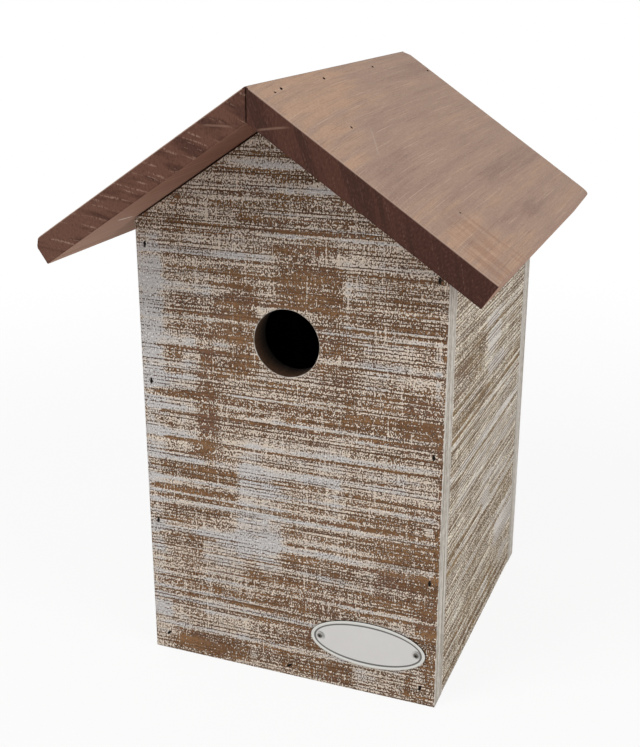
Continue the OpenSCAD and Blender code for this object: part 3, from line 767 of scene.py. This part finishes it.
# The right wall's bands and patches, in the same terms as the front's, and how much stronger its
# bands are than their loads say
RIGHT_STRENGTH = 1.4
RIGHT_BANDS = [
    (191, 0.5, -71, -42, -0.5), (184, 0.5, -71, -20, -0.4), (181.5, 0.5, -71, 71, -0.2),
    (176, 0.5, -71, 71, -0.4), (174.3, 0.5, -71, 71, -0.4), (171, 1.5, -10, 30, 0.4),
    (168.5, 1, -71, 71, 0.2), (166.3, 0.7, -71, 71, -0.7), (162.5, 1.6, -71, -10, -0.4),
    (159, 0.5, -71, 71, -0.4), (160, 5, -7, 20, 0.7), (153, 2, -40, -20, -0.25),
    (151, 0.7, -71, 71, -0.6), (148.8, 0.5, -71, 71, -0.35), (145, 0.8, -71, -5, -0.6),
    (145, 3, -4, 30, 0.6), (142.5, 0.8, -71, 71, 0.25), (140.2, 0.6, -71, 71, -0.5),
    (136, 1.8, -71, 8, -0.8), (136, 1.5, 8, 71, -0.4), (133.4, 0.5, -71, 71, 0.3),
    (131, 0.9, -71, 71, -0.8), (128, 1.2, -71, 71, 0.4), (125.2, 0.6, -71, 71, -0.6),
    (120, 0.4, -71, 71, -0.4), (117.4, 0.4, -71, 71, -0.4), (115, 0.4, -71, 71, -0.45),
    (111.5, 1.8, -71, 71, 0.45), (107.6, 0.8, -71, 71, -0.8), (100, 0.4, -71, 71, -0.4),
    (98, 0.4, -71, 71, -0.35), (95, 1.6, -71, 71, 0.35), (91.2, 0.5, -71, 71, -0.55),
    (88, 0.6, -71, 71, -0.6), (84.6, 0.7, -71, 71, -0.55), (84, 2.2, -4, 16, 0.6),
    (80, 0.5, -71, 71, -0.55), (77, 0.5, -71, 71, -0.4), (72, 6, -4, 8, 0.8),
    (70.5, 1.3, -71, -3, -0.8), (70.8, 1, 14, 74, -0.65), (67, 0.8, -71, 71, 0.3),
    (63.4, 1, -71, 71, -0.75), (59, 0.4, -71, 71, -0.35), (56, 0.5, -71, 71, -0.4),
    (53, 0.5, -71, 71, -0.4), (49, 1.5, -71, 71, 0.35), (45.4, 0.7, -71, 71, -0.7),
    (41, 0.5, -71, -30, -0.45), (37, 0.5, -71, 30, -0.45), (38, 7, 29, 71, 0.7),
    (28, 0.6, -71, 30, -0.5), (25, 0.6, -71, 71, -0.45), (22, 0.5, -71, 71, -0.3),
    (20.2, 0.8, -71, 30, -0.6), (18, 0.5, -71, 71, 0.3), (15.8, 0.5, -71, 40, -0.5),
    (18, 4, 42, 66, 0.4), (13.5, 0.5, -71, 71, 0.25), (10.5, 1.6, -40, 42, -0.6),
    (11, 1.2, -71, 71, -0.3), (8, 0.5, -71, 71, 0.25), (5.5, 1.4, -71, 71, -0.65),
]
RIGHT_PATCHES = [
    (160, 15, -10, 15, 0.4), (160, 10, -70, -15, -0.3), (95, 30, -55, 75, 0.3),
    (40, 10, 35, 75, 0.4), (40, 10, -55, -40, 0.3), (25, 10, -30, -20, -0.4),
    (15, 10, 20, 30, -0.4), (15, 5, 0, 20, 0.4),
]
SIDE_WASH = whitewash(
    "whitewashed side",
    white=(212, 205, 198),
    cream=(234, 222, 203),
    lit=[(255, 248, 232), (255, 252, 246)],
    worn_white=(156, 141, 124),
    ground=[(122, 96, 68), (156, 128, 88), (132, 106, 84)],
    groove_shade=(64, 46, 30),
    grit=(1.0, 0.9, 0.7),
    specked=5.0,
    sawn=3.2,
    edge_white=[(150, 136, 120), (204, 194, 180)],
)


def side_wall(side, bands, patches, seed):
    """The right wall for side 1, and the left one, turned to face the other way, for side -1. The
    inner face stands higher than the outer one, by the slope times the thickness."""
    name = "right" if side > 0 else "left"
    near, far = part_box(f"{name}_wall")
    half, thick = (far.y - near.y) / 2, far.x - near.x
    top = WALL_TOP - ARRIS
    shape = (
        lambda heights: np.full(len(heights), half - ARRIS),
        np.append(np.arange(ARRIS, top - 0.3 * MM, 0.55 * MM), top),
        np.linspace(0, half - ARRIS, 50),
        thick,
    )
    sawn_piece(
        f"{name}_wall_sawn", f"{name}_wall", "whitewashed_side", SIDE_WASH, shape,
        lambda a, d, z: np.stack([side * (HALF_WIDTH - d), side * a, z], 1),
        bands, patches, [], seed, top_rise=thick * SLOPE,
    )


side_wall(1, np.array(RIGHT_BANDS) * [1, 1, 1, 1, RIGHT_STRENGTH], RIGHT_PATCHES, 41)
side_wall(-1, chance_bands(29, 71, 226), [], 51)


# Floor panel
# The same plywood, flat between the four others and never seen but from below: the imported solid
# stays and gets the side walls' paint.


def finish_solid(node, material):
    """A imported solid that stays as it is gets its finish."""
    node.data.materials.clear()
    node.data.materials.append(material)


finish_solid(frame["nodes"]["floor_panel"], SIDE_WASH)


# Roof boards
# Two planed softwood boards with a matt red-brown stain, mitred at the ridge. Their tops are
# painted paler as a painted sheen, their undersides darker as painted shade, their end grain is
# darker, and handling has knocked some corners.

low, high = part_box("roof_right")
PITCH = math.atan(SLOPE)
RIDGE = high.z
BOARD_THICK = (RIDGE - PEAK) * math.cos(PITCH)
BOARD_LENGTH = high.x / math.cos(PITCH)
FRONT_END, BACK_END = low.y, high.y
BOARD_EASE = 0.5 * MM
BOARD_GRAIN_DEPTH = 0.08 * MM
MITRE_GAP = 0.25 * MM
# Knocked corners: how far from the back end the ridge is planed off on the right board and on the
# left, how deep the left one's front eave is, and how the right one's back eave is rounded in plan
RIDGE_KNOCK = {1: 6 * MM, -1: 2.5 * MM}
EAVE_KNOCK = 3.5 * MM
CORNER_ROUND = 6 * MM
# How far the wood's patterns are moved along the roof, each board's its own way, to differ
BOARD_SHIFT = 0.3
# Marks in the top faces, in millimetres and degrees: distance down the slope, place along the roof,
# turn, and size as a share. Brads along the ridge and in both boards, and small dents
RIDGE_PITS = [(5.5, -97, 110, 1), (5.5, -49, 110, 1), (5.5, 17, 110, 1)]
BOARD_PITS = [(35, -80, 110, 0.8), (93.1, -80, 110, 0.65), (17, 80, 110, 1)]
DENTS = [
    (6.7, -105.4, 100, 0.75), (76.5, 3.5, 60, 0.4), (76.8, 24, 100, 0.45), (11.5, 22, 95, 0.35),
]
# Tints of the right board's top, in millimetres: distance down the slope, half width, start and end
# behind the front edge, and warmth, from -1, mauve grey, to 1, orange tan
TOP_TINTS = [
    (8, 12, -5, 95, 0.7), (26, 9, -5, 72, 0.8), (40, 7, -5, 48, 0.9), (51, 5, -5, 24, 0.7),
    (60, 3, -5, 8, 0.5), (22, 7, 84, 128, 0.35), (32, 3, 95, 120, -0.2), (35, 6, 52, 96, -0.45),
    (48, 4, 30, 75, -0.35), (60, 5, 0, 60, -0.6), (71, 5, -5, 44, -0.75), (57, 2, 60, 150, -0.3),
    (66, 3, 60, 110, 0.25), (43, 2, 100, 180, -0.3), (52, 3, 110, 204, 0.25),
    (66, 3, 120, 204, -0.3), (29, 4, 130, 204, -0.35), (14, 5, 140, 204, -0.5),
    (78, 3, 90, 204, 0.15), (87, 5, 105, 210, -0.8), (83, 3, 40, 90, -0.2),
    (98, 6, 70, 150, 0.35), (106, 4, 60, 120, -0.5), (98, 5, 160, 204, 0.3),
    (92, 12, -5, 50, 0.45), (108, 10, 0, 60, 0.7), (120, 6, 10, 90, 0.5),
    (112, 6, 108, 130, -0.5), (119, 4, 130, 204, 0.3), (112, 3, 60, 204, -0.2),
]


def shell(a, y, h):
    """The outside of a block of cells whose corners stand at a, y and h: its points and quads."""
    lines = (a, y, h)
    counts = [len(line) for line in lines]
    numbers = np.arange(np.prod(counts)).reshape(counts)
    sides = []
    for axis in range(3):
        across, up = (axis + 1) % 3, (axis + 2) % 3
        for end in (0, -1):
            grid = np.moveaxis(numbers, (axis, across, up), (0, 2, 1))[end]
            sides.append(quads(grid) if end else quads(grid)[:, ::-1])
    faces = np.concatenate(sides)
    used, renumbered = np.unique(faces, return_inverse=True)
    index = np.unravel_index(used, counts)
    points = np.stack([line[i] for line, i in zip(lines, index)], 1)
    return points, renumbered.reshape(-1, 4)


def rounded(points, low, high, radius):
    """Points of a block with its arrises rounded: each is pulled onto a ball of radius round the
    nearest point of the block shrunk by radius. The pull's direction is the second result."""
    inner = np.clip(points, low + radius, high - radius)
    away = points - inner
    away /= np.maximum(np.linalg.norm(away, axis=1, keepdims=True), 1e-9)
    return inner + radius * away, away


def planed_off(points, normal, through):
    """Points beyond the plane across normal that passes through a point are moved back onto it: a
    flat chamfer."""
    normal = np.array(normal) / np.linalg.norm(normal)
    beyond = np.clip((points - through) @ normal, 0, None)
    return points - beyond[:, None] * normal


def scratch(wood, place, start, end, half, ragged):
    """1 on a thin straight mark from start to end: the distance from its line is the length of the
    cross product with its direction, and ragged moves its edges."""
    run = Vector(end) - Vector(start)
    aim = run.normalized()
    away = wood.add("ShaderNodeVectorMath", {"operation": "SUBTRACT"}, {0: place, 1: start})
    across = wood.add("ShaderNodeVectorMath", {"operation": "CROSS_PRODUCT"}, {0: away, 1: aim})
    across = wood.add("ShaderNodeVectorMath", {"operation": "LENGTH"}, {0: across}, "Value")
    both = {0: away, 1: aim}
    along = wood.add("ShaderNodeVectorMath", {"operation": "DOT_PRODUCT"}, both, "Value")
    ends = wood.rise(along, 0, 0.2 * run.length) * wood.rise(along, run.length, 0.7 * run.length)
    return wood.rise(across + ragged * half, half, 0.3 * half) * ends


def stained_wood(name, side, ring_turn, cut, torn, nick, smear, smear_share):
    """Matt stained softwood. Its top goes with its tone from mauve grey over tan to orange tan,
    under fibres, pale streaks and dashes along the grain, all set paler than the rest as a painted
    sheen; its underside is darker, a painted shade, and painted lighter down the slope, away from
    the ridge, as painted light. Pits and dents are painted near black as shade.
    ring_turn is the slant of the growth rings in its end grain, in degrees from the board's face,
    cut its colours there near the ridge and near the eave, and torn the strength of light tears
    along the rings. nick is a light scratch there, and smear a pale one on the faces, of strength
    smear_share. Their ends are in millimetres: down the slope, behind the front edge, and up."""
    wood = Finish(bpy.data.materials.new(name))
    grain, plain = wood.held("grain", "Vector"), wood.held("plain", "Vector")
    pit, end, under, arris = (wood.held(label) for label in ("pit", "end", "under", "arris"))
    moved = Vector((0, side * BOARD_SHIFT, 0))
    nick, smear = ([Vector(point) * MM + moved for point in mark] for mark in (nick, smear))
    fuzz = wood.cloud(plain, (0.9, 1.2, 1.3), 3, 20.0)
    bands = wood.cloud(grain, (2.6, 110, 20), 3, 4.0)
    fibres = wood.cloud(grain, (0.6, 26, 4), 3, 8.0)
    pale = wood.rise(wood.cloud(grain, (0.6, 70, 6), 3, 9.0), 0.61, 0.69)
    dashes = wood.rise(wood.cloud(grain, (0.7, 9, 6), 2, 12.0), 0.66, 0.76)
    tone = wood.held("tone") + (bands - 0.5) * 2.2
    tone = tone + (wood.cloud(grain, (9, 50, 20), 2, 2.0) - 0.5) * 1.2
    # The top's colours are all paler than the underside's: a painted sheen.
    top = wood.blend(wood.rise(tone, -1.2, 0.2), paint(148, 122, 110), paint(164, 138, 122))
    top = wood.blend(wood.rise(tone, 0.0, 1.2), top, paint(182, 149, 125))
    top = wood.blend(pale * 0.55, top, paint(202, 174, 154))
    top = wood.blend(wood.rise(fibres, 0.47, 0.3) * 0.45, top, paint(138, 108, 93))
    top = wood.blend(wood.rise(fibres, 0.56, 0.7) * 0.35, top, paint(190, 162, 142))
    top = wood.blend(dashes * 0.15, top, paint(124, 92, 76))
    top = wood.blend(wood.rise(fuzz, 0.5, 0.25) * 0.35, top, paint(134, 106, 92))
    top = wood.blend(wood.rise(fuzz, 0.5, 0.75) * 0.3, top, paint(200, 172, 152))
    across = wood.rise(wood.cloud(plain, (26, 3.2, 20), 3, 15.0), 0.48, 0.64)
    top = wood.blend(across * wood.held("stains") * 0.35, top, paint(140, 100, 80))
    down = wood.axes(plain)[0]
    # The underside is painted dark near the ridge and lighter down the slope: painted shade and
    # painted light.
    lit = wood.rise(down + (bands - 0.5) * 0.08, 0.02, 0.13)
    below = wood.blend(lit, paint(126, 87, 71), paint(182, 146, 126))
    below = wood.blend(wood.rise(bands, 0.35, 0.7) * 0.5, below, paint(138, 100, 84))
    below = wood.blend(pale * 0.3, below, paint(178, 146, 128))
    turn = (0, math.radians(ring_turn), 0)
    slant = wood.add("ShaderNodeMapping", None, {"Vector": plain, "Rotation": turn})
    rings = wood.cloud(slant, (26, 26, 3.6), 3, 16.0)
    tears = wood.rise(wood.cloud(slant, (18, 18, 0.9), 2, 23.0), 0.61, 0.69)
    tears = tears * wood.rise(fuzz, 0.4, 0.55)
    low_end = wood.rise(down + (rings - 0.5) * 0.05, 0.05, 0.11)
    ends = wood.blend(low_end, paint(*cut[0]), paint(*cut[1]))
    ends = wood.blend(wood.rise(rings, 0.56, 0.36) * 0.6, ends, paint(54, 33, 27))
    ends = wood.blend(wood.rise(fuzz, 0.5, 0.75) * 0.2, ends, paint(128, 94, 80))
    ends = wood.blend(wood.rise(fuzz, 0.5, 0.25) * 0.4, ends, paint(40, 23, 18))
    ends = wood.blend(tears * torn, ends, paint(162, 132, 116))
    nicked = scratch(wood, plain, *nick, 0.5 * MM, fuzz - 0.5)
    ends = wood.blend(nicked * 0.4, ends, paint(150, 118, 102))
    colour = wood.blend(under, top, below)
    smeared = scratch(wood, plain, *smear, 0.7 * MM, fuzz - 0.5)
    colour = wood.blend(smeared * smear_share, colour, paint(226, 214, 202))
    colour = wood.blend(wood.rise(end, 0.4, 0.75), colour, ends)
    colour = wood.blend(arris * 0.5, colour, paint(206, 178, 160))
    colour = wood.blend(wood.rise(pit, 0.01, 0.06) * 0.6, colour, paint(206, 174, 150))
    # Pits and dents are painted near black: painted shade in the recesses.
    colour = wood.blend(wood.rise(pit, 0.06, 0.25), colour, paint(34, 22, 18))
    rough = 0.75 + (fibres - 0.5) * 0.2
    height = bands * 0.4 + fibres * 0.6 + pale * 0.2 - dashes * 0.3
    return wood.skin(colour, rough, height, 0.12 * MM, **{"Specular IOR Level": 0.12})


def roof_board(side, pits, tints, material, seed):
    """The right board for side 1. The left one is made the same way, turned half round the upright
    axis, so its y runs along the roof from the back. a goes down the slope and h up from the
    underside. A block with rounded arrises is sunk by its grain and pits, its knocked corners are
    cut, its ridge end is drawn out to an upright mitre, and it is tilted into place."""
    name = "roof_right" if side > 0 else "roof_left"
    near, far = sorted((side * FRONT_END, side * BACK_END))
    marks = [(a, side * y, turn, size) for a, y, turn, size in pits]
    a_fine = [0, BOARD_LENGTH, *sorted({mark[0] * MM for mark in marks})]
    y_fine = [near, far, *sorted({mark[1] * MM for mark in marks})]
    a_lines = spread(0, BOARD_LENGTH, 1.5 * MM, a_fine, 0.45 * MM, 2.2 * MM)
    y_lines = spread(near, far, 1.8 * MM, y_fine, 0.45 * MM, 2.2 * MM)
    h_lines = spread(0, BOARD_THICK, 1.2 * MM, [0, BOARD_THICK], 0.4 * MM, 1.0 * MM)
    points, faces = shell(a_lines, y_lines, h_lines)
    low, high = np.array([0, near, 0]), np.array([BOARD_LENGTH, far, BOARD_THICK])
    points, away = rounded(points, low, high, BOARD_EASE)
    a, y, h = points.T
    back = side * y - FRONT_END
    top = np.clip(away[:, 2], 0, 1)
    pit = brad_pits(a, y, marks) * (top > 0.9)
    grain = 0.7 * mottle(a / (1.6 * MM), y / (60 * MM), seed)
    grain = grain + 0.3 * mottle(a / (5 * MM), y / (90 * MM), seed + 1)
    h = h - top * (BOARD_GRAIN_DEPTH * grain + (PIT_DEPTH - BOARD_GRAIN_DEPTH) * pit)
    # the grain slants down towards the front, most at the ridge
    lean = 11 * MM * np.exp(-back / (60 * MM)) * (1 - a / BOARD_LENGTH)
    along = back + side * BOARD_SHIFT
    held = {
        "grain": np.stack([a - lean, along, h], 1),
        "plain": np.stack([a, along, h], 1),
        "tone": laid_bands(back, a, tints, seed, 22 * MM),
        "arris": np.clip(2 * top * np.abs(away[:, 1]), 0, 1) * (a > 1 * MM),
        "pit": pit,
        "end": np.hypot(away[:, 1], np.clip(away[:, 0], -1, 0)),
        "under": np.clip(0.8 * away[:, 0] - away[:, 2], 0, 1),
        "stains": ease(a - 92 * MM, 24 * MM) * ease(50 * MM - back, 16 * MM),
    }
    points = np.stack([a, side * y, h], 1)
    points = planed_off(points, (-1, 0.66, 0), (0, BACK_END - RIDGE_KNOCK[side], BOARD_THICK))
    if side > 0:
        beyond = np.clip(points[:, :2] - (BOARD_LENGTH, BACK_END) + CORNER_ROUND, 0, None)
        reach = np.maximum(np.linalg.norm(beyond, axis=1, keepdims=True) / CORNER_ROUND, 1)
        points[:, :2] += beyond / reach - beyond
    else:
        eave = (BOARD_LENGTH, FRONT_END, BOARD_THICK - EAVE_KNOCK)
        points = planed_off(points, (1, -0.12, 1), eave)
    a, y, h = points.T
    # the mitre stands open at the two ends, over about 3 mm
    from_end = np.minimum(back, BACK_END - FRONT_END - back)
    gap = MITRE_GAP * (0.1 + 0.9 * np.exp(-from_end / (3 * MM)))
    mitre = (BOARD_THICK - h) * SLOPE + gap / math.cos(PITCH)
    a = a + (1 - a / BOARD_LENGTH) * mitre
    x = a * math.cos(PITCH) + (h - BOARD_THICK) * math.sin(PITCH)
    z = RIDGE - a * math.sin(PITCH) + (h - BOARD_THICK) * math.cos(PITCH)
    place = np.stack([side * x, y, z], 1)
    new_piece(f"{name}_planed", name, "stained_roof", material, place, faces.tolist(), held)


roof_board(
    1, RIDGE_PITS + BOARD_PITS + DENTS, TOP_TINTS,
    stained_wood(
        "stained roof right", 1,
        ring_turn=-48,
        cut=[(79, 50, 41), (69, 42, 35)],
        torn=0.12,
        nick=[(4.7, 0, 0), (23.7, 0, 10.5)],
        smear=[(54, 33, 12), (37, 60, 12)],
        smear_share=0.12,
    ),
    61,
)
roof_board(
    -1, BOARD_PITS, [],
    stained_wood(
        "stained roof left", -1,
        ring_turn=36,
        cut=[(102, 69, 57), (104, 72, 60)],
        torn=0.5,
        nick=[(24.5, 0, 10), (5.6, 0, 1.2)],
        smear=[(89.8, 14, 0), (93.5, 34, 0)],
        smear_share=1,
    ),
    71,
)


# Name plate
# A pressed oval of enamelled tin, left blank: a pale raised rim, a thin dark line inside it, and a
# dimple under each of the two domed steel pins that hold it to the front panel.

low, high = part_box("name_plate")
pin_low, pin_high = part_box("plate_pin_right")
PLATE_MIDDLE = (low + high) / 2
PLATE_HALF = (high - low) / 2
PLATE_THICK = high.y - low.y
PLATE_FRONT = low.y
PIN_PLACE = (pin_low.x + pin_high.x) / 2 - PLATE_MIDDLE.x
PIN_HEAD = (pin_high.x - pin_low.x) / 2
PIN_LENGTH = pin_high.y - pin_low.y
PIN_DOME = 0.34 * MM
PIN_SHANK = 0.6 * MM
RIM_RISE = 0.3 * MM
FIELD_INSET = 3.0 * MM
DIMPLE_DEPTH = 0.22 * MM
DIMPLE_RADIUS = 2.1 * MM
# Section of the rim, in millimetres: how far in from the outline, and how far below the rim's top
RIM_SECTION = [
    (3.0, 0.3), (2.6, 0.3), (2.3, 0.3), (2.0, 0.28), (1.75, 0.2), (1.5, 0.1), (1.2, 0.03),
    (0.9, 0), (0.6, 0), (0.35, 0.03), (0.15, 0.12), (0.04, 0.25), (0, 0.4), (0, 0.75),
    (0.1, 0.87), (0.3, 0.9),
]


def capped_rings(x, y, z):
    """A closed skin of rings whose points stand at x, y, z: its points, and the quads between the
    rings with a flat cap on the first and on the last."""
    numbers = np.arange(x.size).reshape(x.shape)
    faces = closed_quads(numbers)[:, ::-1].tolist()
    faces += [numbers[0].tolist(), numbers[-1, ::-1].tolist()]
    return np.stack([x, y, z], -1).reshape(-1, 3), faces


def tin_plate():
    """Rings from the middle of the front, out over the rim and back to the middle of the rear. Each
    is an oval inset from the outline, and within the field it shrinks evenly to the middle."""
    turn = np.linspace(0, 2 * np.pi, 220, endpoint=False)
    rim, fall = np.array(RIM_SECTION).T * MM
    share = np.linspace(0.02, 1, 42)[:-1]
    inner = np.array([PLATE_HALF.x - FIELD_INSET, PLATE_HALF.z - FIELD_INSET])
    field = share[:, None] * inner
    edge = np.stack([PLATE_HALF.x - rim, PLATE_HALF.z - rim], 1)
    half = np.concatenate([field, edge, edge[-1:] * 0.5, edge[-1:] * 0.02])
    down = np.concatenate([np.full(len(share), RIM_RISE), fall, np.full(2, PLATE_THICK)])
    inset = np.concatenate([FIELD_INSET + (1 - share) * inner[1], rim, np.full(2, PLATE_THICK)])
    x = half[:, :1] * np.cos(turn)
    z = half[:, 1:] * np.sin(turn)
    near_pin = np.hypot(np.abs(x) - PIN_PLACE, z)
    front = (np.arange(len(half)) < len(share) + 3)[:, None]
    sunk = ease(DIMPLE_RADIUS - near_pin, 1.4 * MM) * front
    y = PLATE_FRONT + down[:, None] + DIMPLE_DEPTH * sunk
    points, faces = capped_rings(PLATE_MIDDLE.x + x, y, PLATE_MIDDLE.z + z)
    right_of_pin = x - np.sign(x) * PIN_PLACE
    far_side = np.clip((right_of_pin + 0.7 * z) / np.maximum(near_pin, 0.1 * MM), 0, 1)
    held = {
        "inset": np.repeat(inset / MM, len(turn)),
        "dimple": sunk.ravel(),
        "shade": (4 * sunk * (1 - sunk) * far_side * 0.8).ravel(),
        "wall": np.repeat((inset < 0.12 * MM) & (down > 0.2 * MM), len(turn)),
    }
    return points, faces, held


def enamel():
    """Cloudy off-white enamel with a dark line about 2.1 mm in from the outline. Dimples are
    painted a little greyer, and darker on their far side, as painted shade, and the plate's edge
    wall is painted near black as a painted shadow line round the plate."""
    tin = Finish(bpy.data.materials.new("plate enamel"))
    place = tin.place()
    inset, dimple = tin.held("inset"), tin.held("dimple")
    cloudy = tin.cloud(place, (9, 9, 9), 3)
    fine = tin.cloud(place, (0.5, 0.5, 0.5), 2)
    field = tin.blend(cloudy, paint(208, 206, 203), paint(216, 214, 211))
    rim = tin.blend(fine, paint(211, 210, 204), paint(221, 220, 214))
    colour = tin.blend(tin.rise(inset, 2.1, 1.7), field, rim)
    line = tin.rise(inset, 1.5, 1.75) * tin.rise(inset, 2.65, 2.35)
    colour = tin.blend(line * 0.95, colour, paint(88, 87, 85))
    # Dimples painted greyer, and their far side darker: painted shade.
    colour = tin.blend(dimple * 0.2, colour, paint(140, 136, 128))
    colour = tin.blend(tin.held("shade"), colour, paint(104, 101, 97))
    # The plate's edge wall is painted near black: a painted shadow line.
    colour = tin.blend(tin.rise(tin.held("wall"), 0, 0.5), colour, paint(26, 22, 19))
    rough = 0.34 + fine * 0.1
    return tin.skin(colour, rough, cloudy * 0.6 + fine * 0.4, 0.03 * MM)


def turned_pin(side):
    """A domed head whose middle is painted near black, a painted shade with no hollow in the mesh,
    on a shank that tapers to a point: one closed outline of radius and distance behind the head's
    crown, turned round the pin's axis."""
    dome = np.linspace(0.06, 1, 8) * math.pi / 2
    radius = np.append(
        PIN_HEAD * np.sin(dome),
        [PIN_HEAD, PIN_SHANK + 0.02 * MM, PIN_SHANK, PIN_SHANK - 0.02 * MM, 0.05 * MM],
    )
    back = np.append(
        PIN_DOME * (1 - np.cos(dome)),
        [0.4 * MM, 0.42 * MM, 3 * MM, PIN_LENGTH - 0.8 * MM, PIN_LENGTH],
    )
    turn = np.linspace(0, 2 * np.pi, 40, endpoint=False)
    x = PLATE_MIDDLE.x + side * PIN_PLACE + radius[:, None] * np.cos(turn)
    z = PLATE_MIDDLE.z + radius[:, None] * np.sin(turn)
    y = np.broadcast_to(pin_low.y + back[:, None], x.shape)
    # sunk marks the head's middle, painted near black as shade; the dome is not sunk there.
    sunk = np.clip(1.4 - radius / (0.55 * PIN_HEAD), 0, 1) * (back < 1 * MM)
    return *capped_rings(x, y, z), {"sunk": np.repeat(sunk, len(turn))}


def plain_steel(name, dark, bright, rough, grain):
    """Steel with fine mottling of grain millimetres between two screen colours, and painted near
    black, as painted shade, where the mesh's sunk value is up."""
    steel = Finish(bpy.data.materials.new(name))
    spots = steel.cloud(steel.place(), (grain, grain, grain), 3)
    colour = steel.blend(steel.rise(spots, 0.35, 0.65), paint(*dark), paint(*bright))
    # painted shade where sunk is up
    colour = steel.blend(steel.held("sunk"), colour, paint(14, 12, 11))
    return steel.skin(colour, rough + spots * 0.2, spots, 0.03 * MM, Metallic=0.8)


new_piece("name_plate_pressed", "name_plate", "plate_paint", enamel(), *tin_plate())
PIN_STEEL = plain_steel("pin steel", (96, 92, 86), (150, 146, 140), 0.22, 0.5)
for side, name in ((-1, "plate_pin_left"), (1, "plate_pin_right")):
    new_piece(f"{name}_domed", name, "pin_steel", PIN_STEEL, *turned_pin(side))


# Brads
# Dark coated steel brads shot in below the surface, seen at the bottom of their slots. The packed
# solids stay as they are.

BRAD_STEEL = plain_steel("brad steel", (30, 26, 23), (58, 52, 46), 0.45, 0.35)
for name, node in frame["nodes"].items():
    if "brad" in name:
        finish_solid(node, BRAD_STEEL)
